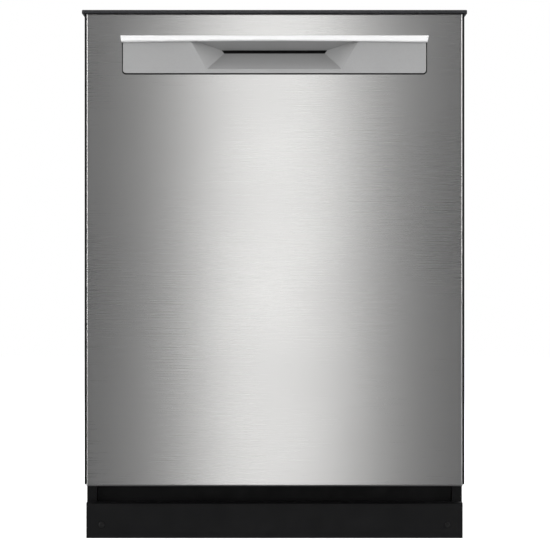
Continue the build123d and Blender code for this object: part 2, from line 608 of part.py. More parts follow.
def wire_box(z, lengthwise):
    """Open wire basket: crossed floor wires, upright walls, a rim and a middle rail."""
    floor, top = z
    x_wall = RACK_HALF - WIRE
    y_walls = (RACK_Y[0] + WIRE, RACK_Y[1] - WIRE)
    across = spread(-x_wall + 22, x_wall - 22, lengthwise)
    length = RACK_Y[1] - RACK_Y[0] - 2 * STACK
    rods([(-x_wall + STACK, y, floor) for y in SIDE_Y], (2 * (x_wall - STACK), 0, 0), WIRE)
    rods([(x, RACK_Y[0] + STACK, floor + STACK) for x in across], (0, length, 0), WIRE)
    rise = top - RIM - floor - STACK
    rods([(x, y, floor + STACK - WIRE) for x in across for y in y_walls], (0, 0, rise), WIRE)
    rods([(side * x_wall, y, floor - WIRE) for side in (-1, 1) for y in SIDE_Y], (0, 0, rise + STACK), WIRE)
    rods([(-RACK_HALF, y, top) for y in y_walls], (2 * RACK_HALF, 0, 0), RIM)
    side_rail = RACK_Y[1] - RACK_Y[0] - 4 * RIM
    rods([(side * x_wall, RACK_Y[0] + 2 * RIM, top) for side in (-1, 1)], (0, side_rail, 0), RIM)
    middle = (floor + top) / 2
    rods([(-x_wall + STACK, y, middle) for y in (y_walls[0] + STACK, y_walls[1] - STACK)],
         (2 * (x_wall - STACK), 0, 0), WIRE)
    rods([(side * (x_wall - STACK), RACK_Y[0] + 3 * STACK, middle) for side in (-1, 1)],
         (0, length - 4 * STACK, 0), WIRE)


TINE = 1.5                     # radius of a tine
LOWER_FLOOR = LOWER_Z[0] + STACK + WIRE + 0.1
UPPER_FLOOR = UPPER_Z[0] + STACK + WIRE + 0.1
TINE_TOP = 258.0
TINE_X = spread(-220, 220, 12)
WHEEL_R = 17.0
WHEEL_Z = LEDGE_Z + WHEEL_R + 0.3
WHEEL_Y = (-140.0, 190.0)
AXLE_R = 4.0
with BuildPart() as lower_rack:
    wire_box(LOWER_Z, 14)
    rods([(x, y, LOWER_FLOOR) for y in (50, 110, 170) for x in TINE_X], (0, 0, TINE_TOP - LOWER_FLOOR), TINE)
    for wheel_y in WHEEL_Y:
        both_sides((RACK_HALF + 0.1, RACK_HALF + 3), (wheel_y - 12, wheel_y + 12), (158, 206))
        for side in (-1, 1):
            rod((side * 257, wheel_y, WHEEL_Z), (side * 274, wheel_y, WHEEL_Z), AXLE_R)
keep(lower_rack.part, "lower_rack")

for end_name, wheel_y in zip(("front", "rear"), WHEEL_Y):
    with BuildPart(mode=Mode.PRIVATE) as wheels:
        for side in (-1, 1):
            rod((side * 262, wheel_y, WHEEL_Z), (side * 272, wheel_y, WHEEL_Z), WHEEL_R)
        fillet(wheels.edges().filter_by(GeomType.CIRCLE), 1.5)
        rod((-280, wheel_y, WHEEL_Z), (280, wheel_y, WHEEL_Z), AXLE_R + 0.3, Mode.SUBTRACT)
    keep(wheels.part, f"lower_wheels_{end_name}")

FOLD_Y = -60.0
FOLD_Z = LOWER_FLOOR + 3.0
with BuildPart() as fold_tines:
    rod((-232, FOLD_Y, FOLD_Z), (232, FOLD_Y, FOLD_Z), 2.5)
    rods([(x, FOLD_Y, FOLD_Z + 2.6) for x in TINE_X], (0, 0, TINE_TOP - FOLD_Z - 2.6), TINE)
keep(fold_tines.part, "fold_tines")

BASKET_X = (75.0, 245.0)
BASKET_Y = (-208.0, -119.0)
BASKET_Z = (LOWER_FLOOR + 0.3, 302.0)
CELLS = 4
with BuildPart() as silverware_basket:
    block(BASKET_X, BASKET_Y, BASKET_Z)
    cell = (BASKET_X[1] - BASKET_X[0] - 2) / CELLS
    for index in range(CELLS):
        left = BASKET_X[0] + 2 + index * cell
        block((left, left + cell - 2), (BASKET_Y[0] + 2, BASKET_Y[1] - 2), (BASKET_Z[0] + 2, 310),
              Mode.SUBTRACT)
    middle_x = sum(BASKET_X) / 2
    block((middle_x - 1, middle_x + 1), (BASKET_Y[0], BASKET_Y[1]), (BASKET_Z[1], 316))
    block((middle_x - 2, middle_x + 2), (BASKET_Y[0] + 20, BASKET_Y[1] - 20), (298, 310), Mode.SUBTRACT)
keep(silverware_basket.part, "silverware_basket")

CUP_WHEEL_R = 12.0
CUP_WHEEL_Z = sum(RACK_RAIL_Z) / 2
CUP_WHEEL_Y = (-140.0, 120.0)
SHELF_AXIS = (-243.0, 534.0)
with BuildPart() as upper_rack:
    wire_box(UPPER_Z, 12)
    rods([(x, y, UPPER_FLOOR) for y in (-20, 60, 140) for x in spread(10, 210, 6)], (0, 0, 55), TINE)
    for wheel_y in CUP_WHEEL_Y:
        both_sides((RACK_HALF + 1, RACK_HALF + 4), (wheel_y - 14, wheel_y + 14), (520, 572))
        for side in (-1, 1):
            rod((side * 258, wheel_y, CUP_WHEEL_Z), (side * 279, wheel_y, CUP_WHEEL_Z), 3.5)
    for outer, inner in ((-168, -136), (108, 76)):
        rod((SHELF_AXIS[0], outer, SHELF_AXIS[1]), (SHELF_AXIS[0], inner, SHELF_AXIS[1]), 2)
        block((-251.6, -239), sorted((outer, outer - 6 if outer < 0 else outer + 6)), (528, 540))
keep(upper_rack.part, "upper_rack")

for end_name, wheel_y in zip(("front", "rear"), CUP_WHEEL_Y):
    with BuildPart(mode=Mode.PRIVATE) as wheels:
        for side in (-1, 1):
            rod((side * 270.5, wheel_y, CUP_WHEEL_Z), (side * 278.5, wheel_y, CUP_WHEEL_Z), CUP_WHEEL_R)
        fillet(wheels.edges().filter_by(GeomType.CIRCLE), 1)
        rod((-290, wheel_y, CUP_WHEEL_Z), (290, wheel_y, CUP_WHEEL_Z), 3.8, Mode.SUBTRACT)
    keep(wheels.part, f"upper_wheels_{end_name}")

RAIL_Y = (-237.0, 285.0)
with BuildPart() as rack_rails:
    both_sides(RACK_RAIL_X, RAIL_Y, RACK_RAIL_Z)
    both_sides((RACK_RAIL_X[0] - 1, RACK_RAIL_X[1] - 2), (RAIL_Y[0] + 2, RAIL_Y[1] - 4),
               (RACK_RAIL_Z[0] + 2, RACK_RAIL_Z[1] - 2), Mode.SUBTRACT)
keep(rack_rails.part, "rack_rails")

with BuildPart() as cup_shelf:
    block((-236, -152), (-150, 90), (532.5, 535.5))
    for slot_x in (-222, -200, -178):
        block((slot_x, slot_x + 12), (-138, 78), (530, 540), Mode.SUBTRACT)
    for pin_y in (-152, 92):
        rod((SHELF_AXIS[0], pin_y, SHELF_AXIS[1]), (SHELF_AXIS[0], 0.0, SHELF_AXIS[1]), 4)
        rod((SHELF_AXIS[0], pin_y - 30, SHELF_AXIS[1]), (SHELF_AXIS[0], pin_y + 30, SHELF_AXIS[1]), 2.06,
            Mode.SUBTRACT)
    block((-239.2, -235), (-150, 90), (532.5, 535.5))
keep(cup_shelf.part, "cup_shelf")

ARM_Z = (408.0, 417.0)
with BuildPart() as upper_arm_manifold:
    block(span(11), (HUB[1], FEED_Y[0] - 6), (426, 438.5))
    rod((*HUB, 426), (*HUB, 438.5), 20)
    rod((*HUB, ARM_Z[0] + 2), (*HUB, 427), 7)
    rod((0, FEED_Y[0] - 14, 431), (0, FEED_Y[0] - 5.5, 431), 14)
keep(upper_arm_manifold.part, "upper_arm_manifold")

with BuildPart() as upper_spray_arm:
    add(spray_arm(185, 42, 24, ARM_Z))
    jets(185, ARM_Z[1])
    rod((0, 0, ARM_Z[1]), (0, 0, 425), 13)
    rod((0, 0, ARM_Z[0] + 1.5), (0, 0, 430), 7.4, Mode.SUBTRACT)
keep(Pos(*HUB, 0) * upper_spray_arm.part, "upper_spray_arm")
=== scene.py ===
"""Looks of the built-in dishwasher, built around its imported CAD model. Metres, +Z up, the door faces -Y."""
import json
import math

import bmesh
import bpy
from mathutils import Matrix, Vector, noise


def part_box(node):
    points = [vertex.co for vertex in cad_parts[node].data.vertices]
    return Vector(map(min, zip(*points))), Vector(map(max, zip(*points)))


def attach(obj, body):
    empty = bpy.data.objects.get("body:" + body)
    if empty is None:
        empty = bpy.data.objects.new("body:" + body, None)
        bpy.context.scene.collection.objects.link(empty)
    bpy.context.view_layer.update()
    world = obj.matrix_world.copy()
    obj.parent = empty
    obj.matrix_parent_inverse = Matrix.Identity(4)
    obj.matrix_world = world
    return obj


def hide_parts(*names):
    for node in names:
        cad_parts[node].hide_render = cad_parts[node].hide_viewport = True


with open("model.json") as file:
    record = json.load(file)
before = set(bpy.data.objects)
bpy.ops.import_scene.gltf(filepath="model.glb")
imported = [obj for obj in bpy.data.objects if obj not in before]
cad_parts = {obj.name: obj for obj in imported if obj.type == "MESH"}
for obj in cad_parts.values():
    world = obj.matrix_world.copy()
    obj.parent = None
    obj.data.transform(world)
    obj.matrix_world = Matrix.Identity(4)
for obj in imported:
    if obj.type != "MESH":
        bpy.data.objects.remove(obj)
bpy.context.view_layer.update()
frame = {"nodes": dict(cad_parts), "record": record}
nodes = frame["nodes"]
scene = bpy.context.scene

# ---------------------------------------------------------------- camera and studio
DOOR_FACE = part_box("door_outer_panel")[0].y
SIGHT_X = 0.0008               # the camera stands a little right of the middle
SIGHT_Z = 0.4264               # and looks level at mid height
DISTANCE = 4.2                 # from the door's face
VIEW_WIDTH = 0.88              # width that the picture spans at the door's face
SENSOR = 36                    # millimetres

# name, place, point it faces, width and height, power
LIGHTS = (
    ("front_strip", (0, -5.0, 0.6), (0, 0, 0.5), (0.52, 3.6), 12.8),
    ("front_fill", (0, -4.2, 1.4), (0, 0, 0.45), (3.2, 1.8), 75),
    ("top_box", (0, -0.9, 2.9), (0, -0.2, 0.6), (2.6, 1.8), 22),
    ("left_box", (-3.4, -0.6, 1.9), (0, 0, 0.5), (1.6, 2.2), 18),
    ("right_box", (3.4, -0.6, 1.9), (0, 0, 0.5), (1.6, 2.2), 18),
    ("left_card", (-2.6, -1.6, 1.2), (0, -0.3, 0.78), (1.0, 1.8), 30),
    ("right_card", (2.6, -1.6, 1.2), (0, -0.3, 0.78), (1.0, 1.8), 30),
    ("back_box", (0.8, 3.6, 2.4), (0, 0.2, 0.5), (2.4, 2.0), 40),
)
ROOM_COLOR = (0.96, 0.97, 1.0, 1)
ROOM_LIGHT = 0.13
WHITE = (1, 1, 1, 1)
FLOOR_HALF = 9
FLOOR_COLOR = (0.86, 0.86, 0.86, 1)
FLOOR_GLOW = 0.95              # lifts the floor to white where the camera sees it


def make_camera():
    camera = bpy.data.objects.new("camera", bpy.data.cameras.new("camera"))
    scene.collection.objects.link(camera)
    camera.location = (SIGHT_X, DOOR_FACE - DISTANCE, SIGHT_Z)
    camera.rotation_euler = (math.pi / 2, 0, 0)
    camera.data.sensor_width = SENSOR
    camera.data.lens = SENSOR * DISTANCE / VIEW_WIDTH
    camera.data.clip_end = 100
    scene.camera = camera


def area_light(name, place, aim, size, power):
    """Soft rectangular light at a place, turned towards a point. Its size is width by height."""
    data = bpy.data.lights.new(name, "AREA")
    data.shape = "RECTANGLE"
    data.size, data.size_y = size
    data.energy = power
    light = bpy.data.objects.new(name, data)
    light.location = place
    light.rotation_euler = (Vector(aim) - Vector(place)).to_track_quat("-Z", "Y").to_euler()
    scene.collection.objects.link(light)


def apart(tree, usual, seen):
    """Mixes two shaders: the camera sees one of them, and every other ray meets the usual one."""
    path = tree.nodes.new("ShaderNodeLightPath")
    mix = tree.nodes.new("ShaderNodeMixShader")
    tree.links.new(path.outputs["Is Camera Ray"], mix.inputs["Fac"])
    tree.links.new(usual.outputs[0], mix.inputs[1])
    tree.links.new(seen.outputs[0], mix.inputs[2])
    return mix.outputs[0]


def make_studio():
    for light in LIGHTS:
        area_light(*light)
    bpy.data.objects["front_fill"].visible_glossy = False
    world = bpy.data.worlds.new("studio")
    scene.world = world
    world.use_nodes = True
    tree = world.node_tree
    room = tree.nodes["Background"]
    room.inputs["Color"].default_value = ROOM_COLOR
    room.inputs["Strength"].default_value = ROOM_LIGHT
    white = tree.nodes.new("ShaderNodeBackground")
    white.inputs["Color"].default_value = WHITE
    white.inputs["Strength"].default_value = 1.0
    tree.links.new(apart(tree, room, white), tree.nodes["World Output"].inputs["Surface"])
    scene.view_settings.view_transform = "Standard"
    scene.view_settings.look = "None"


def make_floor():
    mesh = bpy.data.meshes.new("floor")
    corners = [(x * FLOOR_HALF, y * FLOOR_HALF, 0) for x, y in ((-1, -1), (1, -1), (1, 1), (-1, 1))]
    mesh.from_pydata(corners, [], [(0, 1, 2, 3)])
    floor = bpy.data.objects.new("floor", mesh)
    scene.collection.objects.link(floor)
    floor.visible_glossy = False
    floor.visible_shadow = False
    surface = bpy.data.materials.new("floor_white")
    surface.use_nodes = True
    tree = surface.node_tree
    shader = tree.nodes["Principled BSDF"]
    shader.inputs["Base Color"].default_value = FLOOR_COLOR
    shader.inputs["Roughness"].default_value = 0.9
    glow = tree.nodes.new("ShaderNodeEmission")
    glow.inputs["Strength"].default_value = FLOOR_GLOW
    total = tree.nodes.new("ShaderNodeAddShader")
    tree.links.new(shader.outputs[0], total.inputs[0])
    tree.links.new(glow.outputs[0], total.inputs[1])
    tree.links.new(apart(tree, shader, total), tree.nodes["Material Output"].inputs["Surface"])
    mesh.materials.append(surface)


# ---------------------------------------------------------------- material helpers
NOISE_BAND = (0.3, 0.7)        # most of a noise's values lie between these
GRAIN_FALL = 0.55              # how much of each finer layer a noise keeps


class Shader:
    """A principled material whose colour, roughness and bump come from object-space noises."""

    def __init__(self, name, color, roughness, metallic=0.0, **constants):
        self.material = bpy.data.materials.new(name)
        self.material.use_nodes = True
        self.tree = self.material.node_tree
        self.bsdf = self.tree.nodes["Principled BSDF"]
        self.color = color
        self.bsdf.inputs["Base Color"].default_value = (*color, 1)
        self.bsdf.inputs["Roughness"].default_value = roughness
        self.bsdf.inputs["Metallic"].default_value = metallic
        for socket, value in constants.items():
            self.bsdf.inputs[socket.replace("_", " ")].default_value = value
        self.place = self.tree.nodes.new("ShaderNodeTexCoord").outputs["Object"]
        self.last_bump = None

    def link(self, source, target):
        self.tree.links.new(source, target)

    def noise(self, scale, detail, stretch=(1, 1, 1)):
        """Noise value over the object, from 0 to 1; stretch multiplies the frequency along each axis."""
        mapping = self.tree.nodes.new("ShaderNodeMapping")
        mapping.inputs["Scale"].default_value = stretch
        texture = self.tree.nodes.new("ShaderNodeTexNoise")
        texture.inputs["Scale"].default_value = scale
        texture.inputs["Detail"].default_value = detail
        texture.inputs["Roughness"].default_value = GRAIN_FALL
        self.link(self.place, mapping.inputs["Vector"])
        self.link(mapping.outputs[0], texture.inputs["Vector"])
        return texture.outputs["Fac"]

    def cells(self, scale):
        """Distance to the nearest of scattered points, as on a spangled coating."""
        cells = self.tree.nodes.new("ShaderNodeTexVoronoi")
        cells.inputs["Scale"].default_value = scale
        self.link(self.place, cells.inputs["Vector"])
        return cells.outputs["Distance"]

    def remap(self, value, to_low, to_high):
        """Stretches a noise's usual values over another range."""
        remap = self.tree.nodes.new("ShaderNodeMapRange")
        limits = (*NOISE_BAND, to_low, to_high)
        for socket, number in zip(("From Min", "From Max", "To Min", "To Max"), limits):
            remap.inputs[socket].default_value = number
        self.link(value, remap.inputs["Value"])
        return remap.outputs["Result"]

    def vary_color(self, value, dark, light):
        """Colour runs between two shades of the base colour as a noise runs through its band."""
        ramp = self.tree.nodes.new("ShaderNodeValToRGB")
        for stop, position, shade in zip(ramp.color_ramp.elements, NOISE_BAND, (dark, light)):
            stop.position = position
            stop.color = (*[channel * shade for channel in self.color], 1)
        self.link(value, ramp.inputs["Fac"])
        self.link(ramp.outputs["Color"], self.bsdf.inputs["Base Color"])

    def vary_roughness(self, value, low, high):
        self.link(self.remap(value, low, high), self.bsdf.inputs["Roughness"])

    def bump(self, value, strength, distance):
        """Adds a relief of that depth over the ones before it."""
        bump = self.tree.nodes.new("ShaderNodeBump")
        bump.inputs["Strength"].default_value = strength
        bump.inputs["Distance"].default_value = distance
        self.link(value, bump.inputs["Height"])
        if self.last_bump is not None:
            self.link(self.last_bump, bump.inputs["Normal"])
        self.last_bump = bump.outputs["Normal"]
        self.link(self.last_bump, self.bsdf.inputs["Normal"])


def brushed(name, color, roughness, lines, anisotropy, turn, line_bump, shades, gloss_step, metallic=1.0):
    """Metal brushed along the axis that lines stretches the least. Turn points the gloss."""
    look = Shader(name, color, roughness, metallic, Anisotropic=anisotropy, Anisotropic_Rotation=turn)
    grain = look.noise(1.0, 4, lines)
    cloud = look.noise(3.0, 2)
    look.vary_color(grain, *shades)
    fine = look.remap(grain, roughness - gloss_step, roughness + gloss_step)
    total = look.tree.nodes.new("ShaderNodeMath")
    total.operation = "ADD"
    look.link(fine, total.inputs[0])
    look.link(look.remap(cloud, -0.012, 0.012), total.inputs[1])
    look.link(total.outputs[0], look.bsdf.inputs["Roughness"])
    look.bump(grain, line_bump, 0.0002)
    return look.material


def moulded(name, color, roughness, texture=2600, depth=0.12, **constants):
    """Moulded plastic: fine spark-eroded texture and slow changes of shade and gloss."""
    look = Shader(name, color, roughness, **constants)
    look.vary_color(look.noise(14, 4), 0.86, 1.12)
    look.vary_roughness(look.noise(45, 5), roughness - 0.06, roughness + 0.08)
    look.bump(look.noise(texture, 2), depth, 0.0002)
    look.bump(look.noise(30, 2), 0.05, 0.001)
    return look.material


def plated(name, color, roughness):
    """Zinc-plated or galvanised sheet: soft spangle and fine rolling grain."""
    look = Shader(name, color, roughness, 0.85)
    look.vary_color(look.cells(160), 0.82, 1.1)
    look.vary_roughness(look.noise(60, 5), roughness - 0.1, roughness + 0.12)
    look.bump(look.noise(500, 3), 0.06, 0.0003)
    return look.material


def felt(name, color, fibre=700):
    """Pressed fibre mat."""
    look = Shader(name, color, 0.95, Sheen_Weight=0.35)
    look.vary_color(look.noise(fibre * 0.35, 6, (1, 1, 0.35)), 0.55, 1.5)
    look.bump(look.noise(fibre, 6), 0.6, 0.0012)
    look.bump(look.noise(38, 3), 0.35, 0.004)
    return look.material


def painted(name, color, roughness, metallic=0.0):
    """Smooth paint or bare smooth metal, with fine orange peel and flake."""
    look = Shader(name, color, roughness, metallic)
    look.vary_color(look.noise(1400, 2), 0.94, 1.06)
    look.vary_roughness(look.noise(20, 4), roughness - 0.05, roughness + 0.05)
    look.bump(look.noise(420, 2), 0.05, 0.0003)
    return look.material


def slot_materials():
    """One material for each of the record's slots."""
    return {
        "stainless_skin": brushed("stainless_skin", (0.60, 0.595, 0.585), 0.28, (9, 1500, 2600), 0.93, 0.25,
                                  0.012, (0.985, 1.015), 0.012),
        "grip_metal": painted("grip_metal", (0.74, 0.74, 0.74), 0.45),
        "silver_paint": painted("silver_paint", (0.345, 0.345, 0.345), 0.40, 0.3),
        "black_plastic": moulded("black_plastic", (0.004, 0.004, 0.0044), 0.42, Specular_IOR_Level=0.26),
        "cap_black": moulded("cap_black", (0.016, 0.016, 0.018), 0.30, 3200, 0.08),
        "button_black": moulded("button_black", (0.035, 0.035, 0.038), 0.22, 3200, 0.05),
        "board_green": painted("board_green", (0.02, 0.14, 0.05), 0.3),
        "tub_steel": brushed("tub_steel", (0.74, 0.74, 0.73), 0.30, (700, 700, 14), 0.3, 0.0, 0.02,
                             (0.97, 1.02), 0.02, 0.62),
        "felt": felt("felt", (0.050, 0.050, 0.052)),
        "white_wool": felt("white_wool", (0.75, 0.74, 0.70), 420),
        "grey_plastic": moulded("grey_plastic", (0.23, 0.25, 0.27), 0.42),
        "light_plastic": moulded("light_plastic", (0.56, 0.58, 0.60), 0.38),
        "rack_coat": moulded("rack_coat", (0.27, 0.30, 0.33), 0.32, 1500, 0.1, Coat_Weight=0.2),
        "seal_rubber": moulded("seal_rubber", (0.018, 0.018, 0.018), 0.62, 1800, 0.2),
        "zinc_steel": plated("zinc_steel", (0.55, 0.56, 0.56), 0.38),
        "frame_steel": plated("frame_steel", (0.42, 0.43, 0.44), 0.46),
        "spring_steel": painted("spring_steel", (0.35, 0.35, 0.36), 0.3, 1.0),
        "screw_black": painted("screw_black", (0.004, 0.004, 0.004), 0.5),
        "motor": painted("motor", (0.05, 0.05, 0.055), 0.4),
        "heater_tube": painted("heater_tube", (0.42, 0.40, 0.37), 0.3, 1.0),
        "valve_white": moulded("valve_white", (0.75, 0.74, 0.70), 0.4),
    }


def dress_nodes():
    """Gives every CAD node the material of its slot."""
    for row in frame["record"]["subparts"]:
        mesh = nodes[row["node"]].data
        mesh.materials.clear()
        mesh.materials.append(looks[row["material_slot"]])


# ---------------------------------------------------------------- shapes
WIRE = 0.0016                  # radius of a rack wire
BEND_STEPS = 6                 # straight stretches in a bend
BAR_SIDES = 32
EDGE = 0.0006                  # softened edge of bars and slabs


def spread(first, last, count):
    """Evenly spaced values from first to last."""
    return [first + (last - first) * step / (count - 1) for step in range(count)]


def rounded(points, radius, closed=False):
    """The points of a line with each corner turned into an arc."""
    points = [Vector(point) for point in points]
    count = len(points)
    line = []
    for index, corner in enumerate(points):
        if not closed and index in (0, count - 1):
            line.append(corner)
            continue
        before = (points[index - 1] - corner).normalized()
        after = (points[(index + 1) % count] - corner).normalized()
        half = before.angle(after) / 2
        reach = radius / math.tan(half)
        centre = corner + (before + after).normalized() * (radius / math.sin(half))
        start = corner + before * reach - centre
        end = corner + after * reach - centre
        for step in range(BEND_STEPS + 1):
            turned = start.normalized().slerp(end.normalized(), step / BEND_STEPS)
            line.append(centre + turned * start.length)
    return line


def add_piece(name, mesh, body, slot, replaced=(), smooth=True):
    """Puts a mesh in the scene as a piece that rides on a body."""
    mesh.name = name
    piece = bpy.data.objects.new(name, mesh)
    scene.collection.objects.link(piece)
    mesh.materials.clear()
    mesh.materials.append(looks[slot])
    for face in mesh.polygons:
        face.use_smooth = smooth
    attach(piece, body)
    if replaced:
        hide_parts(*replaced)
    return piece


def wire_object(name, lines, body, slot, replaced=()):
    """One piece made of round wires. Each line is (points, radius, closed)."""
    curve = bpy.data.curves.new(name, "CURVE")
    curve.dimensions = "3D"
    curve.bevel_depth = WIRE
    curve.bevel_resolution = 2
    curve.use_fill_caps = True
    for points, radius, closed in lines:
        spline = curve.splines.new("POLY")
        spline.points.add(len(points) - 1)
        for target, point in zip(spline.points, points):
            target.co = (*point, 1)
            target.radius = radius / WIRE
        spline.use_cyclic_u = closed
    shaped = bpy.data.objects.new(name + "_curve", curve)
    scene.collection.objects.link(shaped)
    bpy.context.view_layer.update()
    mesh = bpy.data.meshes.new_from_object(shaped.evaluated_get(bpy.context.evaluated_depsgraph_get()))
    bpy.data.objects.remove(shaped)
    add_piece(name, mesh, body, slot, replaced)


def lathe(mesh, start, end, radius, soft=EDGE):
    """Adds a round bar with softened ends to a bmesh."""
    start, end = Vector(start), Vector(end)
    axis = (end - start).normalized()
    turn = Vector((0, 0, 1)).rotation_difference(axis)
    length = (end - start).length
    angles = [2 * math.pi * k / BAR_SIDES for k in range(BAR_SIDES)]
    rings = []
    for height, r in ((0, radius - soft), (soft, radius), (length - soft, radius), (length, radius - soft)):
        circle = [Vector((r * math.cos(angle), r * math.sin(angle), height)) for angle in angles]
        rings.append([mesh.verts.new(start + turn @ spot) for spot in circle])
    for lower, upper in zip(rings, rings[1:]):
        for k in range(BAR_SIDES):
            after = (k + 1) % BAR_SIDES
            mesh.faces.new((lower[k], lower[after], upper[after], upper[k]))
    mesh.faces.new(list(reversed(rings[0])))
    mesh.faces.new(rings[-1])


def slab(mesh, low, high):
    """Adds a box with bevelled edges to a bmesh."""
    low, high = Vector(low), Vector(high)
    made = bmesh.ops.create_cube(mesh, size=1.0)["verts"]
    for vert in made:
        vert.co = Vector([low[k] + (high[k] - low[k]) * (vert.co[k] + 0.5) for k in range(3)])
    edges = list(dict.fromkeys(edge for vert in made for edge in vert.link_edges))
    bmesh.ops.bevel(mesh, geom=edges, offset=EDGE, segments=2, profile=0.5, affect="EDGES")


def solid_piece(name, bars, slabs, body, slot):
    """One piece of round bars (start, end, radius) and bevelled slabs (low, high)."""
    work = bmesh.new()
    for bar in bars:
        lathe(work, *bar)
    for corners in slabs:
        slab(work, *corners)
    mesh = bpy.data.meshes.new(name)
    work.to_mesh(mesh)
    work.free()
    add_piece(name, mesh, body, slot, smooth=False)


def shell(name, across, along, point, hole=None):
    """A closed mat between two layers. point(u, v, layer) places a corner; hole(u, v) leaves a cell out."""
    mesh = bmesh.new()
    grid = {}
    for i, u in enumerate(across):
        for j, v in enumerate(along):
            for layer in (0, 1):
                grid[i, j, layer] = mesh.verts.new(point(u, v, layer))
    cells = set()
    for i in range(len(across) - 1):
        for j in range(len(along) - 1):
            middle = ((across[i] + across[i + 1]) / 2, (along[j] + along[j + 1]) / 2)
            if hole is None or not hole(*middle):
                cells.add((i, j))
    for i, j in cells:
        ring = [(i, j), (i + 1, j), (i + 1, j + 1), (i, j + 1)]
        mesh.faces.new([grid[a, b, 1] for a, b in ring])
        mesh.faces.new([grid[a, b, 0] for a, b in reversed(ring)])
        neighbours = ((i, j - 1), (i + 1, j), (i, j + 1), (i - 1, j))
        for near, far, beyond in zip(ring, ring[1:] + ring[:1], neighbours):
            if beyond not in cells:
                mesh.faces.new((grid[*far, 1], grid[*near, 1], grid[*near, 0], grid[*far, 0]))
    bmesh.ops.delete(mesh, geom=[vert for vert in mesh.verts if not vert.link_faces], context="VERTS")
    bmesh.ops.recalc_face_normals(mesh, faces=mesh.faces)
    made = bpy.data.meshes.new(name)
    mesh.to_mesh(made)
    mesh.free()
    return made


def swell(distance, full, edge, reach):
    """Thickness of a mat at a distance from its edge."""
    return edge + (full - edge) * (1 - math.exp(-distance / reach))


# ---------------------------------------------------------------- wire racks
RIM = 0.0025                   # radius of a rim
STACK = 2 * WIRE + 0.0001      # crossing wires lie one on the other
BEND = 0.006                   # radius of a wire's bend
RIM_BEND = 0.022
RAIL_BEND = 0.008
TINE = 0.0015                  # radius of a tine
RACK_HALF = 0.255
RACK_Y = (-0.216, 0.268)
SIDE_GAP = 0.022               # from the side wall to the nearest lengthwise wire
END_GAP = 0.050                # from the end walls to the nearest crosswise wire
CROSSWISE = 7

LOWER_Z = (0.1838, 0.332)      # floor wires and rim
LOWER_TINE_Z = (0.1888, 0.258)
LOWER_TINE_X = spread(-0.220, 0.220, 12)
LOWER_TINE_Y = (0.050, 0.110, 0.170)
TIE_HALF = 0.2485              # bars along the feet of the tines
TIE_Z = 0.1903
FOLD_HALF = 0.232              # hinged row of tines
FOLD_Y = -0.060
FOLD_Z = 0.1918
FOLD_BAR = 0.0025

UPPER_Z = (0.442, 0.556)
UPPER_TINE_Z = (0.447, 0.502)
UPPER_TINE_X = spread(0.010, 0.210, 6)
UPPER_TINE_Y = (-0.020, 0.060, 0.140)
SHELF_X = -0.243               # axis of the cup shelf
SHELF_Z = 0.534
SHELF_PINS = ((-0.168, -0.136), (0.108, 0.076))   # root and tip along Y


def tines(across, along, z):
    """Upright tines on a grid."""
    return [([(x, y, z[0]), (x, y, z[1])], TINE, False) for x in across for y in along]


def ring(half, y, z, bend, radius):
    """A closed rectangle of wire at one height."""
    corners = [(-half, y[0], z), (half, y[0], z), (half, y[1], z), (-half, y[1], z)]
    return (rounded(corners, bend, closed=True), radius, True)


def rack_lines(z, lengthwise):
    """Lines of a bent wire basket: floor and walls in one, a rim and a middle rail."""
    floor, top = z
    x_wall = RACK_HALF - WIRE
    y_walls = (RACK_Y[0] + WIRE, RACK_Y[1] - WIRE)
    lines = []
    for x in spread(SIDE_GAP - x_wall, x_wall - SIDE_GAP, lengthwise):
        path = [(x, y_walls[0], top - RIM), (x, y_walls[0], floor + STACK),
                (x, y_walls[1], floor + STACK), (x, y_walls[1], top - RIM)]
        lines.append((rounded(path, BEND), WIRE, False))
    for y in spread(RACK_Y[0] + END_GAP, RACK_Y[1] - END_GAP, CROSSWISE):
        path = [(-x_wall, y, top - RIM), (-x_wall, y, floor), (x_wall, y, floor), (x_wall, y, top - RIM)]
        lines.append((rounded(path, BEND), WIRE, False))
    lines.append(ring(x_wall, y_walls, top, RIM_BEND, RIM))
    inner_y = (y_walls[0] + STACK, y_walls[1] - STACK)
    lines.append(ring(x_wall - STACK, inner_y, (floor + top) / 2, RAIL_BEND, WIRE))
    return lines


def corners(first, second):
    """The lowest and highest corner of the box between two points."""
    pairs = list(zip(first, second))
    return ([min(pair) for pair in pairs], [max(pair) for pair in pairs])


def wheel_mounts(along, plate_x, plate_half, plate_z, axle_x, axle_z, axle_r):
    """Plates and axles that carry a rack's wheels, as bars and slabs."""
    bars, slabs = [], []
    for side in (-1, 1):
        for y in along:
            slabs.append(corners((side * plate_x[0], y - plate_half, plate_z[0]),
                                 (side * plate_x[1], y + plate_half, plate_z[1])))
            bars.append(((side * axle_x[0], y, axle_z), (side * axle_x[1], y, axle_z), axle_r))
    return bars, slabs


def make_lower_rack():
    lines = rack_lines(LOWER_Z, 14)
    lines += tines(LOWER_TINE_X, LOWER_TINE_Y, LOWER_TINE_Z)
    for y in LOWER_TINE_Y:
        beside = y + 2 * WIRE
        lines.append(([(-TIE_HALF, beside, TIE_Z), (TIE_HALF, beside, TIE_Z)], WIRE, False))
    wire_object("lower_rack_wires", lines, "lower_rack", "rack_coat", ("lower_rack",))
    bars, slabs = wheel_mounts((-0.140, 0.190), (0.2551, 0.258), 0.012, (0.158, 0.206),
                               (0.257, 0.274), 0.1673, 0.004)
    solid_piece("lower_rack_axles", bars, slabs, "lower_rack", "light_plastic")


